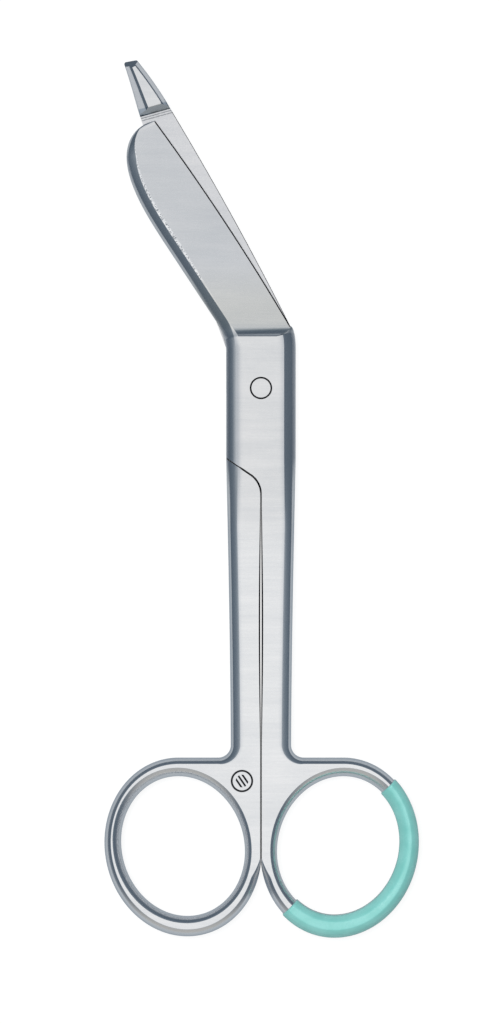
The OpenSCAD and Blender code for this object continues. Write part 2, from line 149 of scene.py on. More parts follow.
# Brushed steel: fine lines across the flat faces, lines along the ground facets
steelLook = {
    "tone": srgb(235, 235, 235),
    "deepTone": srgb(219, 221, 223),
    "paintedShadeTone": srgb(16, 18, 21),  # painted shade in the joint line and round the rivet
    "shadePatchTone": srgb(34, 36, 40),
    "seamReach": 0.5,  # mm
    "seamOpen": (0.2, 0.75),  # openness between which the painted shade gives way to steel
    "seamRough": 0.5,
    "airSamples": 6,
    # Painted shade material, dark on the chamfers where the parts meet: its lighter patches, their size,
    # roughness and gloss
    "shadePatchScale": 2.0,  # patches in a mm
    "shadePatchSpan": (0.3, 0.8),
    "shadeRough": 0.6,
    "shadeRoughSwing": 0.2,
    "shadeGloss": 0.15,
    "faceUp": (0.9, 0.97),  # how far up a flat face looks, against the ground facets
    "steepUp": (0.45, 0.68),
    "steepShadeTint": (0.6, 0.65, 0.7),  # painted shade on the steep sides, darker by their tilt
    "faceRough": 0.27,
    "facetRough": 0.2,
    "roughSwing": 0.06,
    "broadRough": 0.08,
    "lineBump": 0.05,
    "bumpDepth": 0.02,  # mm
    "anisotropy": 0.35,
    "brushScale": (0.16, 3.2),  # along and across the brushing of the flat faces, in a mm
    "broadScale": (0.05, 0.55, 0.3),
    "facetScale": (4.5, 0.12, 4.5),
    "cloudScale": 0.09,
    "speckleScale": 1.7,
    "grainShare": 0.5,  # contrast of the brushing, then of its broader and finer marks
    "broadShare": 0.5,
    "cloudShare": 0.8,
    "speckleShare": 0.7,
    "deepShare": 0.35,  # mean share of the deeper tone
    "shankLift": 1.11,  # shanks and rings are a little brighter than the joint
    "liftFrom": (-40.0, -18.0),  # mm along the scissors
}
bladeLook = {
    "heelTint": (1.0, 0.985, 0.935),  # warmer beside the shoulder
    "heelFrom": (10.0, 14.0),
    "heelTo": (16.0, 27.0),
    "stripHighlightTint": (1.24, 1.24, 1.24),  # painted highlight on the flat strip inside the ridge
    "stripUp": (0.99, 0.998),
    "stripFrom": (20.0, 24.0),
    "stripLow": 3.5,  # mm, only above this height
    "stripTone": srgb(112, 120, 128),  # rough specks along the ridge
    "speckScale": 3.0,
    "speckSpan": (0.42, 0.5),
    "speckShare": 0.85,
    "lapTint": (0.9, 0.9, 0.92),  # inner face of the lower blade
    "lapHeight": (2.56, 2.62),
    "saltScale": 2.4,
    "saltSpan": (0.2, 0.7),
    "rampTint": (0.62, 0.68, 0.74),
    "rampFrom": (-0.1, 0.1),  # mm up the ramp
    "rampTo": (1.45, 1.6),
    "rampHigh": 3.8,  # mm, only below this height
    "stripeTone": srgb(84, 92, 98),  # grinding marks at the ramp's foot
    "stripePitch": 0.5,  # mm
    "stripeWobble": 5.0,
    "stripeSpan": (-0.3, 0.5),
    "stripeFrom": (-1.4, -0.8),
    "stripeTo": (0.3, 0.5),
    "stripeShare": 0.6,
}
markLook = {  # plain ring with three bars, etched in the web of the left ring
    "centre": (-3.9, -80.6),
    "radius": 2.1,
    "line": 0.2,
    "fade": (0.6, 1.3),  # where a stroke begins to fade and ends, in lines from its middle
    "bars": 1.3,  # reach of the bars
    "pitch": 0.8,
    "lean": 0.6,
    "tone": srgb(40, 41, 44),
    "rough": 0.3,
    "low": 4.0,  # mm, only above this height
}


def etchedMark(kit, x, y, mark):
    def stroke(away):
        full, gone = [mark["line"] * share for share in mark["fade"]]
        return kit.span(abs(away), full, gone, 1.0, 0.0)
    dx, dy = x - mark["centre"][0], y - mark["centre"][1]
    away = (dx * dx + dy * dy) ** 0.5
    ring = stroke(away - mark["radius"])
    over = dx * cos(mark["lean"]) + dy * sin(mark["lean"])
    bars = stroke(over.math("PINGPONG", mark["pitch"] / 2)) * (away < mark["bars"])
    return ring.math("MAXIMUM", bars)


def tinted(kit, share, colour, tint):
    dyed = kit.node("ShaderNodeVectorMath", {"operation": "MULTIPLY"}, {0: colour, 1: tint})
    return kit.blend(share, colour, dyed)


def upperTouches(kit, x, y, z, up, place, colour):
    look = bladeLook
    heel = kit.span(y, *look["heelFrom"]) * kit.span(y, *look["heelTo"], 1.0, 0.0)
    colour = tinted(kit, heel, colour, look["heelTint"])
    # Painted highlight: the flat strip inside the ridge is made brighter
    strip = kit.span(up, *look["stripUp"]) * kit.span(y, *look["stripFrom"])
    strip = strip * (z > look["stripLow"])
    colour = tinted(kit, strip, colour, look["stripHighlightTint"])
    speck = kit.noise(place, look["speckScale"], 3.0, 0.7)
    speck = kit.span(speck, *look["speckSpan"], 1.0, 0.0)
    return kit.blend(strip * speck * look["speckShare"], colour, look["stripTone"])


def lowerTouches(kit, x, y, z, up, place, colour):
    look = bladeLook
    lapFace = kit.span(z, *look["lapHeight"], 1.0, 0.0)
    salt = kit.noise(place, look["saltScale"], 3.0, 0.7)
    colour = tinted(kit, lapFace * kit.span(salt, *look["saltSpan"]), colour, look["lapTint"])
    s = (heelX - x) * sin(radians(backLean)) + (y - heelY) * cos(radians(backLean))
    d = (heelX - x) * cos(radians(backLean)) - (y - heelY) * sin(radians(backLean))
    rise = s - footS - (d - lowerBlade["width"] / 2) * tan(radians(lowerBlade["rampTurn"]))
    ramp = kit.span(rise, *look["rampFrom"]) * kit.span(rise, *look["rampTo"], 1.0, 0.0)
    colour = tinted(kit, ramp * (z < look["rampHigh"]), colour, look["rampTint"])
    wave = rise * (2 * pi / look["stripePitch"]) + (salt - 0.5) * look["stripeWobble"]
    foot = kit.span(rise, *look["stripeFrom"]) * kit.span(rise, *look["stripeTo"], 1.0, 0.0)
    stripes = kit.span(wave.math("SINE"), *look["stripeSpan"]) * foot
    return kit.blend(stripes * look["stripeShare"], colour, look["stripeTone"])


def steel(name, look, touches=None, mark=None):
    made = bpy.data.materials.new(name)
    made.use_nodes = True
    kit = NodeKit(made.node_tree)
    coords = kit.node("ShaderNodeTexCoord", {}, {}, None)
    place = kit.node("ShaderNodeVectorMath", {"operation": "SCALE"},
                     {0: Wire(kit, coords.outputs["Object"]), "Scale": 1 / mm})
    x, y, z = kit.split(place)
    up = abs(kit.split(Wire(kit, coords.outputs["Normal"]))[2])
    onFace = kit.span(up, *look["faceUp"])
    places = [kit.join(x * look["brushScale"][0], y * look["brushScale"][1], z)]
    for key in ("broadScale", "facetScale"):
        places.append(kit.join(*[axis * scale for axis, scale in zip((x, y, z), look[key])]))
    brushed = kit.noise(places[0], 1.0, 4.0, 0.62)
    broad = kit.noise(places[1], 1.0, 2.0)
    lengthways = kit.noise(places[2], 1.0, 3.0, 0.6)
    grain = lengthways + (brushed - lengthways) * onFace
    cloud = kit.noise(place, look["cloudScale"], 2.0)
    speckle = kit.noise(place, look["speckleScale"], 4.0, 0.75)
    shade = (grain - 0.5) * look["grainShare"] + (broad - 0.5) * look["broadShare"] \
        + (cloud - 0.5) * look["cloudShare"] + (speckle - 0.5) * look["speckleShare"] \
        + look["deepShare"]
    colour = kit.blend(shade, look["tone"], look["deepTone"])
    lift = look["shankLift"]
    colour = tinted(kit, kit.span(y, *look["liftFrom"], 1.0, 0.0), colour, (lift, lift, lift))
    rough = (grain - 0.5) * look["roughSwing"] + (broad - 0.5) * look["broadRough"] \
        + kit.span(up, *look["faceUp"], look["facetRough"], look["faceRough"])
    # Painted shade: steep faces get a darker, bluer colour
    colour = tinted(kit, kit.span(up, *look["steepUp"], 1.0, 0.0), colour, look["steepShadeTint"])
    if touches:
        colour = touches(kit, x, y, z, up, place, colour)
    if mark:
        etched = etchedMark(kit, x, y, mark) * (z > mark["low"])
        colour = kit.blend(etched, colour, mark["tone"])
        rough = rough + etched * mark["rough"]
    # Painted shade: ambient occlusion turns the colour dark and the steel dull and non-metal in crevices
    # and between parts
    air = kit.node("ShaderNodeAmbientOcclusion", {"samples": look["airSamples"]},
                   {"Distance": look["seamReach"] * mm}, 1)
    unshaded = kit.span(air, *look["seamOpen"])
    colour = kit.blend(unshaded, look["paintedShadeTone"], colour)
    rough = rough + (1 - unshaded) * look["seamRough"]
    bump = kit.node("ShaderNodeBump", {}, {
        "Strength": look["lineBump"], "Distance": look["bumpDepth"] * mm, "Height": grain})
    shader = kit.node("ShaderNodeBsdfPrincipled", {}, {
        "Base Color": colour, "Metallic": unshaded, "Roughness": rough, "Normal": bump,
        "Anisotropic": look["anisotropy"]})
    kit.node("ShaderNodeOutputMaterial", {}, {"Surface": shader}, None)
    return made


# Painted shade: a dark, dull material for the chamfers and edges where the parts meet
def paintedSeamShade(name, look):
    made = bpy.data.materials.new(name)
    made.use_nodes = True
    kit = NodeKit(made.node_tree)
    coords = kit.node("ShaderNodeTexCoord", {}, {}, None)
    patchy = kit.noise(Wire(kit, coords.outputs["Object"]), look["shadePatchScale"] / mm, 2.0)
    colour = kit.blend(kit.span(patchy, *look["shadePatchSpan"]), look["paintedShadeTone"], look["shadePatchTone"])
    shader = kit.node("ShaderNodeBsdfPrincipled", {}, {
        "Base Color": colour, "Roughness": patchy * look["shadeRoughSwing"] + look["shadeRough"],
        "Specular IOR Level": look["shadeGloss"]})
    kit.node("ShaderNodeOutputMaterial", {}, {"Surface": shader}, None)
    return made


coatingLook = {
    "tone": srgb(140, 210, 202),
    "deepTone": srgb(128, 202, 193),
    "cloudScale": 0.35,
    "rippleScale": 1.6,
    "toneSpan": (0.3, 0.7),
    "bump": 0.15,
    "bumpDepth": 0.03,  # mm
    "rough": 0.28,
    "roughSwing": 0.1,
    "index": 1.5,
    "gloss": 0.8,
    "glossRough": 0.12,
}


def coating(name, look):
    made = bpy.data.materials.new(name)
    made.use_nodes = True
    kit = NodeKit(made.node_tree)
    coords = kit.node("ShaderNodeTexCoord", {}, {}, None)
    place = kit.node("ShaderNodeVectorMath", {"operation": "SCALE"},
                     {0: Wire(kit, coords.outputs["Object"]), "Scale": 1 / mm})
    cloud = kit.noise(place, look["cloudScale"], 3.0)
    ripple = kit.noise(place, look["rippleScale"], 2.0)
    colour = kit.blend(kit.span(cloud, *look["toneSpan"]), look["tone"], look["deepTone"])
    bump = kit.node("ShaderNodeBump", {}, {
        "Strength": look["bump"], "Distance": look["bumpDepth"] * mm, "Height": ripple})
    shader = kit.node("ShaderNodeBsdfPrincipled", {}, {
        "Base Color": colour, "Roughness": (cloud - 0.5) * look["roughSwing"] + look["rough"],
        "Normal": bump, "IOR": look["index"], "Coat Weight": look["gloss"],
        "Coat Roughness": look["glossRough"]})
    kit.node("ShaderNodeOutputMaterial", {}, {"Surface": shader}, None)
    return made


# Sizes in millimetres and degrees: the solids' own outlines, and finer bevels and edges
jointSize = {
    "height": 2.5, "halfWidth": 7.15, "heelY": 12.8, "heelIn": 1.1, "heelDrop": 4.5,
    "lineY": 14.4, "lineSlope": 34.0, "lineRadius": 4.8,
    "steepW": 0.75, "slantW": 1.65, "roundSteepW": 0.8, "roundSlantW": 1.15,
    "lowerSteepW": 0.8, "lowerSlantW": 1.6,  # seen at the left, under the joint line
    "lap": 0.02, "lineGap": 0.28,
    "seamEdge": 0.075,  # chamfer along the joint line and down the shanks, dark with painted shade
    "seamSpread": 3.0,  # how much wider it gets where the shanks stand apart
    "draft": 0.085,  # how much nearer the halves come at half height
    "toShank": 14.0,  # length in which the joint's facets turn into the shank's
}
# Tilts from the flat face outwards: slant in, slant out, steep in, steep out
tilts = {
    "joint": (31, 35, 40, 46),
    "round": (20, 35, 36, 46),
    "shank": (24, 35, 50, 60),
    "spine": (30, 38, 48, 54),
    "ring": (31, 43, 46, 60),
    "edge": (34, 36, 36, 40),
    "probe": (36.9, 36.9, 14.6, 14.6),
}
upperBlade = {
    "length": 50.6, "width": 12.2, "lean": 33.4, "endLength": 24.5, "endSlant": 0.8,
    "edgeBow": 0.65, "bendRadius": 10.6, "spineW": 2.0, "edgeH": 0.42, "edgeW": 0.24,
    "ridgeDrop": 0.35, "thinShare": 0.18,
    "spineSteep": 0.28, "spineEase": 0.04,
    "fadeLeast": 0.13, "fadeFrom": 0.3, "fadeOver": 0.45,  # the spine gets thin round the tip
    "heavyFrom": 13.0, "heavyOver": 9.0,  # it turns into the joint's bevel before the bend
    "stripFrom": 12.0, "stripOver": 38.0,
    "stripW": 0.75,  # flat strip just inside the ridge
}
lowerBlade = {
    "splay": 4.5, "backBow": 0.5, "width": 6.4, "probeLength": 11.7, "probeH": 1.4,
    "endW": 2.6, "endSlant": 0.7, "rampLength": 1.4, "rampGap": 1.1, "rampTurn": 13.5,
    "noseLength": 1.45, "noseDrop": 0.95, "noseInset": 0.35,
    "sweep": 0.8, "bow": 0.35,
    "back": (0.8, 0.24), "frontFoot": (1.74, 0.62), "frontEnd": (0.73, 0.48),  # facet widths
    "spineSteep": 0.3,
    "lapEdge": 0.14,  # chamfer along the back's inner edge, dark with painted shade
}
shankSize = {"ringTop": 76.0, "width": 6.1, "fillet": 2.6, "sideGap": 0.2, "sideBow": 0.12,
             "steepW": 0.55, "slantW": 1.4, "ease": 0.9}
ringSize = {
    "holeW": 25.2, "holeL": 29.1, "lean": 15.0, "stock": 3.65, "flat": 0.2, "height": 2.1,
    "stockShares": (1, 0, -0.04, -0.07), "innerShares": (0.42, 0.04, 0.1, 0),
    "outerShares": (0.37, 0, -0.07, 0), "steepShare": 0.5, "ease": 0.12,
    "parting": 16.0,  # degrees in which the outer bevel grows where the rings part
}
rivetSize = {
    "shaft": 3.2, "head": 4.2, "headDepth": 0.8, "rim": 0.15, "runGap": 0.05, "holdGap": 0.01,
}
coatingSize = {
    "thickness": 0.3, "from": 45.0, "to": -135.0,
    "seat": 0.01,  # between the coating and its ring
    "wall": 0.12,  # upright part of the section, in shares of its height
    "lip": 1.2,  # degrees that an end is rounded over
    "lipLine": [(0, 0.12), (0.15, 0.5), (0.5, 0.85), (1, 1.0)],
    "inset": 2.5,  # degrees from an end to the even rows
}
rowCount = {
    "joint": 12, "turn": 8, "shank": 44, "fillet": 14, "ringTop": 46, "ringLow": 44,
    "bladeEnd": 72, "blade": 30, "bend": 50, "nose": 5, "probe": 32, "lowerBlade": 60, "heel": 20,
    "corner": 16, "line": 31, "hole": 180, "lathe": 120, "coating": 88,
}
crisp = 0.07  # mm that a ground corner is rounded by
crispShare = 0.45


def mix(a, b, t): return a * (1 - t) + b * t
def clamp01(t): return max(0.0, min(1.0, t))
def point(*values): return np.array(values, float)
def along(lean): return point(sin(radians(lean)), cos(radians(lean)))
def across(lean): return point(cos(radians(lean)), -sin(radians(lean)))


def cornerArc(corner, a, b, radius, count):
    turn = b - a
    way = 1 if turn > 0 else -1
    centre = corner - along(a) * radius * tan(radians(abs(turn) / 2)) + across(a) * radius * way
    return [centre - across(a + turn * i / count) * radius * way for i in range(count + 1)]


def facets(steep, slant, height, kind="shank", ease=0.3, easeTilt=10.0, strip=0.0, lapEdge=0.0,
           dark=0.0):
    made = dict(steep=steep, slant=slant, top=height, ease=ease, easeTilt=easeTilt, strip=strip,
                lapEdge=lapEdge, dark=dark)
    made.update(zip(("slantIn", "slantOut", "steepIn", "steepOut"), tilts[kind]))
    return made


def mixFacets(a, b, t):
    return {key: mix(a[key], b[key], t) for key in a}


def splitFacets(width, share, height, kind, **more):
    return facets(width * share, width * (1 - share), height, kind, **more)


# The cutting edge's facets take the dark material: painted shade where the blades meet
edgeFacets = facets(upperBlade["edgeW"] * 0.5, upperBlade["edgeW"] * 0.5, upperBlade["edgeH"],
                    "edge", ease=0.03, dark=1.0)
zoneSteps = 4
facetPoints = 3 * zoneSteps + 7  # points of a side below the eased edge of its flat face


# One side of a section: up the wall, over the two facets and the eased edge to the flat face
def sideProfile(f):
    zones = [(f["ease"], 0.0, f["easeTilt"]), (f["slant"], f["slantIn"], f["slantOut"]),
             (f["steep"], f["steepIn"], f["steepOut"])]
    steps = []
    for width, first, last in zones:
        size = width / zoneSteps
        steps += [point(size, size * tan(radians(mix(first, last, (k + 0.5) / zoneSteps))))
                  for k in range(zoneSteps)]
    fit = min(1.0, 0.85 * f["top"] / max(sum(step[1] for step in steps), 1e-9))
    spot = point(sum(step[0] for step in steps), f["top"])
    line = [spot + point(f["strip"] + 0.03, 0), spot]
    for step in steps:
        spot = spot - step * point(1, fit)
        line.append(spot)
    line.append(point(0, f["lapEdge"] + 0.02))
    made = []
    for k, corner in enumerate(line):
        if k in (1 + zoneSteps, 1 + 2 * zoneSteps, 1 + 3 * zoneSteps):
            back, ahead = line[k - 1] - corner, line[k + 1] - corner
            start = corner + back * min(1, crisp / max(np.linalg.norm(back), 1e-9)) * crispShare
            end = corner + ahead * min(1, crisp / max(np.linalg.norm(ahead), 1e-9)) * crispShare
            made += [start, (start + corner * 2 + end) / 4, end]
        else:
            made.append(corner)
    made.append(point(f["lapEdge"], 0))
    return made[::-1]


def inwardAt(rows, i, side):
    reach = rows[i][4] if len(rows[i]) > 4 else 1  # rows on each side that the direction is taken from
    a, b = rows[max(i - reach, 0)][side], rows[min(i + reach, len(rows) - 1)][side]
    t = (b - a) / max(np.linalg.norm(b - a), 1e-9)
    return point(-t[1], t[0]) if side == 0 else point(t[1], -t[0])


# Faces between closed loops of the same number of points
def gridFaces(loopCount, count):
    return [(k * count + i, k * count + (i + 1) % count,
             (k + 1) * count + (i + 1) % count, (k + 1) * count + i)
            for k in range(loopCount - 1) for i in range(count)]


def stationMesh(name, rows):
    loops, darks = [], []
    for i, row in enumerate(rows):
        sides = []
        for side in (0, 1):
            n = inwardAt(rows, i, side)
            sides.append([(*(row[side] + n * p[0]), p[1]) for p in sideProfile(row[2 + side])])
        top = sides[0] + sides[1][::-1]
        loops.append(top + [(p[0], p[1], -p[2]) for p in top[::-1]])
        # Faces along a lap edge, and facets marked dark, take the second material, painted shade
        dark = [row[2]["lapEdge"] > 0.05] + [False] * (len(top) - 3) + [row[3]["lapEdge"] > 0.05]
        for k in range(facetPoints if row[3]["dark"] > 0.5 else 0):
            dark[-1 - k] = True
        darks.append(dark + [False] + dark[::-1] + [False])
    count = len(loops[0])
    verts = [tuple(v * mm for v in p) for loop in loops for p in loop]
    faces = gridFaces(len(loops), count)
    shades = [int(darks[i][j] and darks[i + 1][j])
              for i in range(len(loops) - 1) for j in range(count)]
    half, last = count // 4, (len(loops) - 1) * count
    for first in (0, last):  # ends are closed by strips from side to side
        ends = [(j, j + 1, 2 * half - 2 - j, 2 * half - 1 - j) for j in range(half - 1)]
        ends += [tuple(count - 1 - v for v in f[::-1]) for f in ends]
        ends.append((0, 2 * half - 1, 2 * half, count - 1))
        faces += [tuple(first + v for v in f) for f in ends]
    return meshObject(name, verts, faces, shades + [0] * (len(faces) - len(shades)))


def meshObject(name, verts, faces, shades=None):
    data = bpy.data.meshes.new(name)
    data.from_pydata(verts, [], faces)
    if shades:
        data.polygons.foreach_set("material_index", shades)
    made = bpy.data.objects.new(name, data)
    collection.objects.link(made)
    work = bmesh.new()
    work.from_mesh(data)
    bmesh.ops.remove_doubles(work, verts=work.verts, dist=1e-8)
    bmesh.ops.dissolve_degenerate(work, edges=work.edges, dist=1e-8)
    bmesh.ops.recalc_face_normals(work, faces=work.faces)
    work.to_mesh(data)
    work.free()
    return made


# The finger hole and its ring, by the direction of the stock's outward normal
holeA, holeB, holeLean = ringSize["holeW"] / 2, ringSize["holeL"] / 2, radians(ringSize["lean"])
holeHalfX = hypot(holeA * cos(holeLean), holeB * sin(holeLean))
holeHalfY = hypot(holeA * sin(holeLean), holeB * cos(holeLean))


def roundShare(shares, a):
    even, right, up, twice = shares
    return even + right * cos(radians(a)) + up * sin(radians(a)) + twice * cos(radians(2 * a))


def stockAt(a): return ringSize["stock"] * roundShare(ringSize["stockShares"], a)
def innerBevel(a): return ringSize["stock"] * roundShare(ringSize["innerShares"], a)
def outerBevel(a): return ringSize["stock"] * roundShare(ringSize["outerShares"], a)
def normalAt(a): return point(cos(radians(a)), sin(radians(a)))


holeMid = point(
    shankSize["sideGap"] / 2 + stockAt(180) - ringSize["flat"] + holeHalfX,
    -shankSize["ringTop"] - stockAt(90) - holeHalfY)


def holeAt(a):
    t = atan2(holeB * sin(radians(a) + holeLean), holeA * cos(radians(a) + holeLean))
    wide, long = across(ringSize["lean"]) * holeA, along(ringSize["lean"]) * holeB
    return holeMid + wide * cos(t) + long * sin(t)


def ringAt(a): return holeAt(a) + normalAt(a) * stockAt(a)


def ringFacets(a, share=1.0):
    return splitFacets(outerBevel(a) * share, ringSize["steepShare"], ringSize["height"], "ring",
                       ease=ringSize["ease"] * share)


# Stations shared by both halves, from the joint down round the ring
halfW, jointH = jointSize["halfWidth"], jointSize["height"]
lineY, lineR = jointSize["lineY"], jointSize["lineRadius"]
ringTop, ringH = shankSize["ringTop"], ringSize["height"]
taperFrom, taperTo = -lineY - lineR, -ringTop + shankSize["fillet"]
wasteX = -shankSize["width"] * 0.6
wasteTop = -ringTop - ringSize["stock"] * 1.6  # low, so that the rows fan out without crossing
wasteStep = 0.4


def landH(y): return mix(jointH, ringH, clamp01((taperFrom - y) / (taperFrom - taperTo)))


def shankX(y):
    t = clamp01((y - taperTo) / (-lineY - taperTo))
    edge = shankSize["sideGap"] / 2 + shankSize["width"]
    return edge + (halfW - edge) * t ** 1.5


jointSide = facets(jointSize["steepW"], jointSize["slantW"], jointH, "joint", ease=1.3, easeTilt=12)
jointRound = facets(jointSize["roundSteepW"], jointSize["roundSlantW"], jointH, "round",
                    ease=1.5, easeTilt=20)
lowerSide = facets(jointSize["lowerSteepW"], jointSize["lowerSlantW"], jointH, "round",
                   ease=1.2, easeTilt=20)
shankSide = facets(shankSize["steepW"], shankSize["slantW"], ringH, "shank",
                   ease=shankSize["ease"])


def shankFacets(y, start):
    made = mixFacets(start, shankSide, clamp01((-lineY - y) / jointSize["toShank"]))
    return dict(made, top=landH(y))


def handleRows(start):
    rows = []
    for y in np.linspace(0, -lineY, rowCount["joint"]):
        rows.append([point(-halfW, y), point(halfW, y), jointRound, start])
    first = -lineY - 2 * lineR
    for y in np.linspace(-lineY - 1, first, rowCount["turn"]):
        rows.append([point(-halfW, y), point(shankX(y), y),
                     dict(jointRound, top=landH(y)), shankFacets(y, start)])
    for y in np.linspace(first - 1.2, taperTo, rowCount["shank"]):
        side = shankFacets(y, start)
        rows.append([point(wasteX, y), point(shankX(y), y), side, side])
    arcCount = rowCount["fillet"]
    arc = cornerArc(point(shankX(taperTo), -ringTop), 180, 90, shankSize["fillet"], arcCount)
    for i in range(1, arcCount + 1):
        turned = mixFacets(shankSide, ringFacets(90), i / arcCount)
        waste = point(wasteX, mix(taperTo, wasteTop, i / arcCount))
        rows.append([waste, arc[i], ringFacets(90, 0.0), turned])
    arcEnd, ringStart = arc[-1], ringAt(90)
    for t in (0.25, 0.5, 0.75):
        waste = point(wasteX, wasteTop - wasteStep * t)
        rows.append([waste, mix(arcEnd, ringStart, t), ringFacets(90, 0.0), ringFacets(90)])
    for a in np.linspace(90, 0, rowCount["ringTop"]):
        y = mix(wasteTop - wasteStep, holeMid[1] + ringSize["stock"], (90 - a) / 90)
        rows.append([point(wasteX, y), ringAt(a), ringFacets(a, 0.0), ringFacets(a)])
    for a in list(np.linspace(-2, -88, rowCount["ringLow"])) + [-89.0, -89.8]:
        left = ringFacets(180 - a, clamp01((-a - 1) / ringSize["parting"]))
        rows.append([ringAt(180 - a), ringAt(a), left, ringFacets(a)])
    return rows


heelX, heelY = halfW - jointSize["heelIn"], jointSize["heelY"]


def heelAt(a):
    wide, drop = jointSize["heelIn"], jointSize["heelDrop"]
    return point(heelX + wide * sin(radians(a)), heelY - drop * (1 - cos(radians(a))))


# Upper blade: s runs up its cutting edge from the heel, d runs across to the spine
bladeL, bladeW, bladeLean = upperBlade["length"], upperBlade["width"], upperBlade["lean"]
endFrom = bladeL - upperBlade["endLength"]


def upperAt(s, d): return point(heelX, heelY) + along(-bladeLean) * s - across(-bladeLean) * d


def upperEdge(s):
    return upperAt(s, -4 * upperBlade["edgeBow"] * (s / bladeL) * (1 - s / bladeL))


def endD(t): return bladeW * max(0.0, cos(t)) ** (2 / 3)


def endS(t):
    return endFrom + upperBlade["endLength"] * sin(t) ** (2 / 3) \
        - upperBlade["endSlant"] * ((1 - endD(t) / bladeW) ** 6 - 1)


def ridgeH(s, d):
    low, high = upperBlade["edgeH"], jointH - upperBlade["ridgeDrop"]
    climb = min(1.0, (d / bladeW) / (1 - upperBlade["spineW"] / bladeW))
    return low + (high - low) * climb * (1 - upperBlade["thinShare"] * s / bladeL)


def spineFacets(s, d):
    size = upperBlade
    fade = mix(size["fadeLeast"], 1.0, clamp01((d / bladeW - size["fadeFrom"]) / size["fadeOver"]))
    width = size["spineW"] * fade
    bulge = sin(pi * clamp01((s - size["stripFrom"]) / size["stripOver"]))
    more = {"strip": size["stripW"] * fade * max(0.0, bulge) ** 0.7, "ease": size["spineEase"]}
    high = ridgeH(s, max(0.0, d - width))
    made = splitFacets(width, size["spineSteep"], high, "spine", **more)
    heavy = splitFacets(width, size["spineSteep"], high, "joint", **more)
    return mixFacets(made, heavy, clamp01((bendS + size["heavyFrom"] - s) / size["heavyOver"]))


bendY = upperAt((upperAt(0, bladeW)[0] + halfW) / sin(radians(bladeLean)), bladeW)[1]
# Step up from the blade to the joint, in shares of the bend
shoulder = {"from": 0.34, "to": 0.59, "hollow": 2.2, "heel": 44.0}
bendCount = rowCount["bend"]
bendArc = cornerArc(point(-halfW, bendY), 180 - bladeLean, 180, upperBlade["bendRadius"], bendCount)
bendS = float((bendArc[0] - point(heelX, heelY)) @ along(-bladeLean))


def upperRows():
    rows = []
    for q in np.linspace(0.004, 1, rowCount["bladeEnd"]):
        t = pi / 2 * (1 - q ** 1.5)
        s, d = endS(t), endD(t)
        e = mix(endFrom, endS(pi / 2), sin(t))
        rows.append([upperAt(s, d), upperEdge(e), spineFacets(s, d), edgeFacets])
    last = bendS * 0.12
    for t in np.linspace(0, 1, rowCount["blade"])[1:]:
        s, e = mix(endFrom, bendS, t), mix(endFrom, last, t)
        rows.append([upperAt(s, bladeW), upperEdge(e), spineFacets(s, bladeW), edgeFacets])
    low, spineEnd = jointH - upperBlade["ridgeDrop"], spineFacets(bendS, bladeW)
    for i in range(1, bendCount + 1):
        t = i / bendCount
        u = clamp01((t - shoulder["from"]) / (shoulder["to"] - shoulder["from"]))
        rise = u ** shoulder["hollow"]
        if t <= shoulder["from"]:
            right = upperEdge(last * (1 - t / shoulder["from"]))
        elif t <= shoulder["to"]:
            right = heelAt(shoulder["heel"] * u)
        else:
            right = heelAt(mix(shoulder["heel"], 90, (t - shoulder["to"]) / (1 - shoulder["to"])))
        left = mix(ridgeH(bendS, bladeW), low, clamp01(t / shoulder["from"]))
        rounded = mixFacets(spineEnd, jointRound, clamp01((t - 0.2) / 0.7))
        rows.append([bendArc[i], right, dict(rounded, top=mix(left, jointH, rise)),
                     dict(mixFacets(edgeFacets, jointSide, rise), dark=float(u <= 0))])
    return rows + handleRows(jointSide)


# Lower blade: s runs up its back from the heel, d runs across to the cutting edge
backLean = bladeLean - lowerBlade["splay"]
heelPoint = heelAt(90)


def lowerAt(s, d): return point(-heelX, heelY) + along(backLean) * s + across(backLean) * d
def mirrored(p): return point(-p[0], p[1])


def backS(p): return float((mirrored(p) - point(-heelX, heelY)) @ along(backLean))


footS = max(backS(upperAt(endS(t), endD(t))) for t in np.linspace(0, pi / 2, 200)) + lowerBlade["rampGap"]
edgeHeelS = float((heelPoint - point(-heelX, heelY)) @ along(backLean))
edgeHeelD = float((heelPoint - point(-heelX, heelY)) @ across(backLean))


def backD(s): return -4 * lowerBlade["backBow"] * (s / footS) * (1 - min(1.0, s / footS))
def lowerW(s): return mix(edgeHeelD, lowerBlade["width"], (s - edgeHeelS) / (footS - edgeHeelS))
def lowerRidge(s): return mix(jointH - upperBlade["ridgeDrop"], lowerBlade["probeH"], s / footS)


def probeRow(t, inset, height):
    s = footS + lowerBlade["probeLength"] * t
    front = [mix(a, b, t) for a, b in zip(lowerBlade["frontFoot"], lowerBlade["frontEnd"])]
    back = lowerBlade["sweep"] * t * t + 4 * lowerBlade["backBow"] * lowerBlade["probeLength"] / footS * t
    frontD = mix(lowerBlade["width"], back + lowerBlade["endW"], t) + 4 * lowerBlade["bow"] * t * (1 - t)
    shift = lowerBlade["endSlant"] * t / 2
    fit = min(1.0, 0.84 * (frontD - back - 2 * inset) / (sum(lowerBlade["back"]) + sum(front)))

    def shaped(pair):
        return facets(pair[0] * fit, pair[1] * fit, height, "probe", ease=0.03)
    return [lowerAt(s - shift, back + inset), lowerAt(s + shift, frontD - inset),
            shaped(lowerBlade["back"]), shaped(front)]


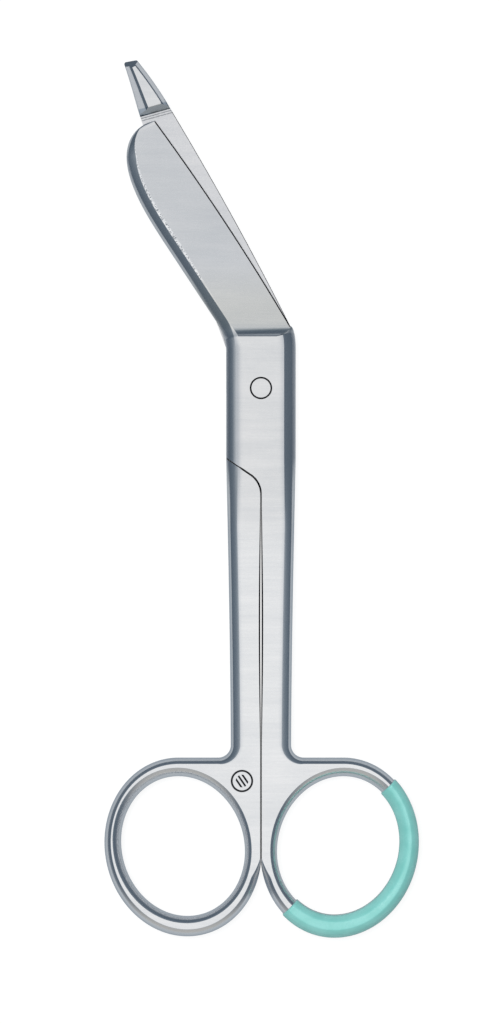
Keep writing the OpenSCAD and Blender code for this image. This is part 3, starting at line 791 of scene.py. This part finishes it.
def lowerRows():
    probeH = lowerBlade["probeH"]
    noseT = 1 - lowerBlade["noseInset"] / lowerBlade["probeLength"]
    rows = []
    for q in np.linspace(0, 1, rowCount["nose"]):  # corners of the blunt end
        rows.append(probeRow(mix(1.0, noseT, q), lowerBlade["noseInset"] * (1 - q) ** 2, probeH))
    rampT = lowerBlade["rampLength"] / lowerBlade["probeLength"]
    for t in np.linspace(noseT, rampT, rowCount["probe"])[1:]:
        rows.append(probeRow(t, 0.0, probeH))
    plainEdge = dict(edgeFacets, dark=0.0)
    rampS = footS - lowerBlade["rampLength"]
    nearHeel, heelReach = 0.93, 6  # the inward direction turns slowly there, so no face folds
    for t in np.linspace(0, 1, rowCount["lowerBlade"]):
        s, e = mix(rampS, 0, t), mix(rampS, edgeHeelS, t)
        back = splitFacets(upperBlade["spineW"], lowerBlade["spineSteep"], lowerRidge(s), "spine",
                           lapEdge=lowerBlade["lapEdge"])
        rows.append([lowerAt(s, backD(s)), lowerAt(e, lowerW(e)), back, plainEdge,
                     heelReach if t > nearHeel else 1])
    heelBack, heelRows = rows[-1][2], rowCount["heel"]
    for i in range(1, heelRows + 1):
        t = i / heelRows
        right = point(halfW, heelPoint[1] - jointSize["heelIn"] * 3 * t)
        rows.append([mirrored(heelAt(90 * t)), right, mixFacets(heelBack, jointRound, t),
                     mixFacets(plainEdge, lowerSide, t ** 1.1), heelReach])
    return rows + handleRows(lowerSide)


# Cutters
overrun = 2 * jointH
beyond = 2 * (bladeL + ringTop)  # clear of the whole part
sideFrom = -lineY - (halfW + shankSize["sideGap"] / 2) * tan(radians(jointSize["lineSlope"])) \
    - lineR  # where the joint line has turned down between the shanks


def sideX(y):
    t = clamp01((sideFrom - y) / (sideFrom - taperTo))
    return shankSize["sideGap"] / 2 + shankSize["sideBow"] / 2 * sin(pi * t)


def jointLine(way, lift, edge=0.0, draft=0.0):
    slope = jointSize["lineSlope"]
    side = shankSize["sideGap"] / 2 + edge - draft
    x = way * (halfW + overrun)
    y = -lineY + overrun * tan(radians(slope)) + lift - way * edge / cos(radians(slope))
    corner = point(side, y - (halfW + overrun - way * side) * tan(radians(slope)))
    line = [point(x, y)]
    line += cornerArc(corner, -way * (90 + slope), -way * 180, lineR - way * edge,
                      rowCount["corner"])
    for t in np.linspace(0, 1, rowCount["line"])[1:]:
        down = mix(sideFrom, taperTo, t)
        bulge = sin(pi * t)
        wide = edge * (1 + jointSize["seamSpread"] * bulge)
        line.append(point(sideX(down) + wide - draft * (1 - 0.8 * bulge), down))
    line.append(point(side, holeMid[1] - holeHalfY - ringSize["stock"] - overrun))
    return line


# Cutter along the joint line: walls, a chamfer at the flat face, then open
def lineCutter(name, way, lift, far, sign, materials):
    edge = jointSize["seamEdge"]
    lines = [jointLine(way, lift, draft=jointSize["draft"]), jointLine(way, lift),
             jointLine(way, lift, edge)]
    count = len(lines[0])
    verts, faces = [], []
    for m, p, q in zip(*lines):
        top = landH(p[1])
        low = top - max(edge, 0.75 * abs(q[0] - p[0]))
        for spot, z in ((m, sign * jointSize["lap"]), (p, low), (q, top), (q, jointH + overrun)):
            verts.append((spot[0], spot[1], z * sign))
    for z in (jointSize["lap"], sign * (jointH + overrun)):
        verts += [(p[0], p[1], z) for p in far]
    for i in range(count - 1):
        faces += [(4 * i + k, 4 * i + 4 + k, 4 * i + 5 + k, 4 * i + 1 + k) for k in range(3)]
    low, high, last = 4 * count, 4 * count + len(far), 4 * count - 4
    lows, highs = list(range(low, high)), list(range(high, high + len(far)))
    faces += [(*range(0, low, 4), *lows), (*range(3, low, 4), *highs)]
    faces += [(lows[k], lows[k + 1], highs[k + 1], highs[k]) for k in range(len(far) - 1)]
    faces += [(last, last + 1, last + 2, last + 3, highs[0], lows[0]), (0, 1, 2, 3, highs[-1], lows[-1])]
    verts = [(x * mm, y * mm, z * mm) for x, y, z in verts]
    return shadeChamfers(meshObject(name, verts, faces), materials)


# Chamfer faces, between flat and upright, take the second material: painted shade
def shadeChamfers(piece, materials):
    for material in materials:
        piece.data.materials.append(material)
    for polygon in piece.data.polygons:
        polygon.material_index = 1 if 0.3 < abs(polygon.normal[2]) < 0.99 else 0
    return piece


def ownLineCutter(materials):
    lift = jointSize["lineGap"] / 2
    far = point(-halfW - overrun, jointLine(-1, lift)[-1][1])
    return lineCutter("ownLine", -1, lift, [far], 1, materials)


def lapCutter(materials):
    lift = -jointSize["lineGap"] / 2
    line = jointLine(1, lift)
    reach = bladeL + lowerBlade["probeLength"]
    top, left = reach + lowerBlade["probeLength"] + heelY, -halfW - overrun
    far = [point(left, line[-1][1]), point(left, 0), point(-reach, 0), point(-reach, top),
           point(reach, top), point(reach, line[0][1])]
    return lineCutter("lap", 1, lift, far, -1, materials)


def cutAway(piece, cutter, operation="DIFFERENCE"):
    step = piece.modifiers.new("cut", "BOOLEAN")
    step.operation = operation
    step.solver = "MANIFOLD"
    step.object = cutter
    settle(piece)
    bpy.data.objects.remove(cutter)


def settle(piece):
    graph = bpy.context.evaluated_depsgraph_get()
    data = bpy.data.meshes.new_from_object(piece.evaluated_get(graph))
    piece.modifiers.clear()
    piece.data = data


# The hole's bevel from the flat face to the hole: places and depths, in shares of its width
bevelLine = [
    (0.97, 0.015), (0.85, 0.09), (0.7, 0.2), (0.5, 0.38), (0.3, 0.59), (0.1, 0.85), (0.0, 1.0)]


def fingerHoleCutter():
    angles = np.linspace(180, -180, rowCount["hole"] + 1)[:-1]
    levels = [(1, 1, -1), (1, 0, 0)] + [(share, 0, fall) for share, fall in bevelLine]
    levels = [(*level, -1) for level in levels] + [(*level, 1) for level in levels[::-1]]
    count = len(angles)
    verts = []
    for inward, clear, fall, side in levels:
        for a in angles:
            wide = innerBevel(a)
            p = holeAt(a) + normalAt(a) * wide * inward
            z = ringH + overrun if clear else ringH - wide * fall
            verts.append((p[0] * mm, p[1] * mm, side * z * mm))
    faces = gridFaces(len(levels), count)
    last = (len(levels) - 1) * count
    faces += [tuple(range(count)), tuple(range(last, last + count))[::-1]]
    return meshObject("fingerHole", verts, faces)


def lathe(name, outline):
    count = rowCount["lathe"]
    verts = [(r * cos(2 * pi * i / count) * mm, r * sin(2 * pi * i / count) * mm, z * mm)
             for r, z in outline for i in range(count)]
    faces = gridFaces(len(outline), count)
    last = (len(outline) - 1) * count
    faces += [tuple(range(count))[::-1], tuple(range(last, last + count))]
    return meshObject(name, verts, faces)


def rivetHole(gap):
    shaft, head = rivetSize["shaft"] / 2 + gap, rivetSize["head"] / 2 + gap
    rim, depth, tall = rivetSize["rim"], rivetSize["headDepth"], 2 * jointH
    return lathe("rivetHole", [
        (head + rim, -overrun), (head + rim, 0), (head, rim), (shaft, depth), (shaft, tall - depth),
        (head, tall - rim), (head + rim, tall), (head + rim, tall + overrun)])


def setDown(piece, turned):
    move = Matrix.Translation((0, 0, jointH * mm))
    if turned:
        move = move @ Matrix.Rotation(pi, 4, "Y")
    piece.data.transform(move)


def finish(piece, body, node, sharp=24):
    for polygon in piece.data.polygons:
        polygon.use_smooth = True
    piece.data.set_sharp_from_angle(angle=radians(sharp))
    step = piece.modifiers.new("faceNormals", "WEIGHTED_NORMAL")
    step.keep_sharp = True
    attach(piece, body)
    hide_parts(node)


def buildHalf(name, rows, turned, gap, materials):
    half = stationMesh(name, rows)
    for material in materials:
        half.data.materials.append(material)
    cutAway(half, ownLineCutter(materials))
    lap = lapCutter(materials)
    if turned:
        cutAway(lap, rampCutter(), "INTERSECT")
        for side in (-1, 1):
            cutAway(half, noseCutter(side))
    cutAway(half, lap)
    cutAway(half, fingerHoleCutter())
    setDown(half, turned)
    # The rivet hole's chamfers take the painted shade too
    cutAway(half, shadeChamfers(rivetHole(gap), materials))
    return half


# A prism across the lower blade, whose outline is given along the blade and upwards
def bladeCutter(name, outline, turn=0.0):
    verts = []
    for d in (-beyond, beyond):
        for s, z in outline:
            p = lowerAt(s + (d - lowerBlade["width"] / 2) * tan(radians(turn)), d)
            verts.append((p[0] * mm, p[1] * mm, z * mm))
    faces = [(0, 1, 2, 3), (7, 6, 5, 4)]
    faces += [(i, 4 + i, 4 + (i + 1) % 4, (i + 1) % 4) for i in range(4)]
    return meshObject(name, verts, faces)


def rampCutter():
    deep = jointH + overrun
    lap, probeH = jointSize["lap"], lowerBlade["probeH"]
    run = lowerBlade["rampLength"] * (deep + lap) / (probeH + lap)
    outline = [(-beyond, lap), (footS, lap), (footS + run, -deep), (-beyond, -deep)]
    return bladeCutter("ramp", outline, lowerBlade["rampTurn"])


def noseCutter(side):
    end, top = footS + lowerBlade["probeLength"], lowerBlade["probeH"]
    drop, long = lowerBlade["noseDrop"], lowerBlade["noseLength"]
    slope, ahead = drop / long, 2 * long
    outline = [(end - long - jointH, top + slope * jointH), (end + ahead, top + slope * jointH),
               (end + ahead, top - drop - slope * ahead), (end - long, top)]
    return bladeCutter("nose", [(s, side * z) for s, z in outline])


paintedShade = paintedSeamShade("paintedSeamShade", steelLook)
upper = buildHalf("upperHalf", upperRows(), False, rivetSize["runGap"],
                  [steel("upperSteel", steelLook, upperTouches), paintedShade])
finish(upper, "upper_side", "upper_half")
print("upper half is built", len(upper.data.polygons))

lower = buildHalf("lowerHalf", lowerRows(), True, rivetSize["holdGap"],
                  [steel("lowerSteel", steelLook, lowerTouches, markLook), paintedShade])
finish(lower, "lower_side", "lower_half")
print("lower half is built", len(lower.data.polygons))

headR, shaftR, rimR = rivetSize["head"] / 2, rivetSize["shaft"] / 2, rivetSize["rim"]
rivet = lathe("pivotRivet", [
    (headR - rimR, 0), (headR, rimR), (shaftR, rivetSize["headDepth"]),
    (shaftR, 2 * jointH - rivetSize["headDepth"]), (headR, 2 * jointH - rimR), (headR - rimR, 2 * jointH)])
# The rivet's rim chamfers take the painted shade
shadeChamfers(rivet, [steel("rivetSteel", steelLook), paintedShade])
finish(rivet, "lower_side", "pivot_rivet")
print("rivet is built")


# Coating: the ring's section grown by its thickness, with a lip at both ends
def ringSection(a, grow):
    inner, wide = innerBevel(a), stockAt(a)
    hole = [point(inner * share, ringH - inner * fall) for share, fall in bevelLine[::-1]]
    outside = [point(wide - p[0], p[1]) for p in sideProfile(ringFacets(a))[:1:-1]]
    wall = ringH * coatingSize["wall"]
    quarter = [point(0, wall)] + hole + outside + [point(wide, wall)]
    corners = quarter + [point(p[0], -p[1]) for p in quarter[::-1]]
    made = []
    for k, corner in enumerate(corners):
        run = corners[(k + 1) % len(corners)] - corners[k - 1]
        run /= np.linalg.norm(run)
        made.append(corner + point(-run[1], run[0]) * grow)
    return made


def buildCoating():
    fromA, toA, thick = coatingSize["from"], coatingSize["to"], coatingSize["thickness"]
    lip, lipLine, inset = coatingSize["lip"], coatingSize["lipLine"], coatingSize["inset"]
    even = np.linspace(fromA - inset, toA + inset, rowCount["coating"])
    stations = [(fromA - lip * run, share) for run, share in lipLine]
    stations += [(a, 1.0) for a in even]
    stations += [(toA + lip * run, share) for run, share in lipLine[::-1]]

    def loop(a, grow):
        return [(*(holeAt(a) + normalAt(a) * p[0]) * mm, (p[1] + jointH) * mm)
                for p in ringSection(a, grow)]
    outer = [loop(a, thick * share) for a, share in stations]
    inner = [loop(a, coatingSize["seat"]) for a, share in stations]
    size = len(outer[0])
    last = len(stations) - 1
    verts = [v for pair in zip(outer, inner) for ring in pair for v in ring]

    def out(i, j): return i * 2 * size + j % size
    def inn(i, j): return out(i, j) + size
    faces = []
    for i in range(last):
        for j in range(size):
            faces.append((out(i, j), out(i, j + 1), out(i + 1, j + 1), out(i + 1, j)))
            faces.append((inn(i, j), inn(i + 1, j), inn(i + 1, j + 1), inn(i, j + 1)))
    for j in range(size):
        faces.append((out(0, j), inn(0, j), inn(0, j + 1), out(0, j + 1)))
        faces.append((out(last, j), out(last, j + 1), inn(last, j + 1), inn(last, j)))
    return meshObject("ringCoating", verts, faces)


coat = buildCoating()
coat.data.materials.append(coating("greenCoating", coatingLook))
finish(coat, "upper_side", "ring_coating", 50)
print("coating is built")


# Studio: white floor, white ceiling, grey walls that the ground facets pick up
studioLook = {
    "floorSize": 6.0,
    "floorDrop": 0.05,  # mm under the part
    "paper": (0.2, 0.2, 0.2),
    "thinPaper": (0.17, 0.17, 0.17),  # where the glow is added
    "floorGlow": 0.86,
    "floorTint": (0.8, 0.9, 1.0),  # of the glow in the steel
    "floorInSteel": 0.38,  # how much of the glow the steel picks up
    "lamp": {"place": (-0.5, 0.6, 2.4), "size": 1.6, "power": 50.0},
    "front": [(0.0, srgb(235, 236, 238)), (0.49, srgb(192, 192, 191)), (0.56, srgb(182, 182, 180)),
              (0.66, srgb(178, 178, 177)), (0.79, srgb(184, 186, 188)), (0.885, srgb(208, 210, 213)),
              (0.955, srgb(222, 225, 228)), (1.0, srgb(254, 254, 254))],
    "back": [(0.0, srgb(235, 236, 238)), (0.49, srgb(150, 158, 168)), (0.56, srgb(96, 106, 118)),
             (0.66, srgb(82, 95, 108)), (0.79, srgb(110, 122, 134)), (0.885, srgb(194, 200, 206)),
             (0.955, srgb(209, 213, 219)), (1.0, srgb(254, 254, 254))],
    "backSpan": (-0.95, -0.45),  # where the front turns into the back
}


def buildFloor(look):
    side = look["floorSize"] / 2
    corners = [(-side, -side, 0), (side, -side, 0), (side, side, 0), (-side, side, 0)]
    floor = meshObject("floor", corners, [(0, 1, 2, 3)])
    floor.location.z = -look["floorDrop"] * mm
    made = bpy.data.materials.new("paperFloor")
    made.use_nodes = True
    kit = NodeKit(made.node_tree)
    path = kit.node("ShaderNodeLightPath", {}, {}, None)
    direct, glossy, through = [
        Wire(kit, path.outputs[f"Is {ray} Ray"]) for ray in ("Camera", "Glossy", "Transmission")]
    reflected = glossy.math("MAXIMUM", through)
    seen = direct.math("MAXIMUM", reflected * look["floorInSteel"])
    paper = kit.node("ShaderNodeBsdfDiffuse", {}, {"Color": look["paper"]})
    thin = kit.node("ShaderNodeBsdfDiffuse", {}, {"Color": look["thinPaper"]})
    sheen = kit.blend(direct, look["floorTint"], (1.0, 1.0, 1.0))
    glow = kit.node("ShaderNodeEmission", {}, {"Color": sheen, "Strength": look["floorGlow"]})
    shown = kit.node("ShaderNodeAddShader", {}, {0: thin, 1: glow})
    surface = kit.node("ShaderNodeMixShader", {}, {0: seen, 1: paper, 2: shown})
    kit.node("ShaderNodeOutputMaterial", {}, {"Surface": surface}, None)
    floor.data.materials.append(made)


def buildWorld(look):
    world = bpy.data.worlds.new("studio")
    world.use_nodes = True
    bpy.context.scene.world = world
    kit = NodeKit(world.node_tree)
    coords = kit.node("ShaderNodeTexCoord", {}, {}, None)
    _, toBack, rise = kit.split(Wire(kit, coords.outputs["Generated"]))
    height = rise * 0.5 + 0.5
    front = kit.node("ShaderNodeValToRGB", {"stops": look["front"]}, {0: height})
    back = kit.node("ShaderNodeValToRGB", {"stops": look["back"]}, {0: height})
    dome = kit.blend(kit.span(toBack, *look["backSpan"]), front, back)
    path = kit.node("ShaderNodeLightPath", {}, {}, None)
    seen = Wire(kit, path.outputs["Is Camera Ray"])
    colour = kit.blend(seen, dome, (1.0, 1.0, 1.0))
    background = kit.node("ShaderNodeBackground", {}, {"Color": colour, "Strength": 1.0})
    kit.node("ShaderNodeOutputWorld", {}, {"Surface": background}, None)


def buildLamp(look):
    light = bpy.data.lights.new("lamp", "AREA")
    light.shape = "SQUARE"
    light.size = look["size"]
    light.energy = look["power"]
    lamp = bpy.data.objects.new("lamp", light)
    lamp.location = look["place"]
    lamp.rotation_mode = "QUATERNION"
    lamp.rotation_quaternion = (-Vector(look["place"])).to_track_quat("-Z", "Y")
    lamp.visible_camera = False
    lamp.visible_glossy = False
    collection.objects.link(lamp)


buildFloor(studioLook)
buildWorld(studioLook)
buildLamp(studioLook["lamp"])
bpy.context.scene.view_settings.view_transform = "Standard"
print("studio is set")
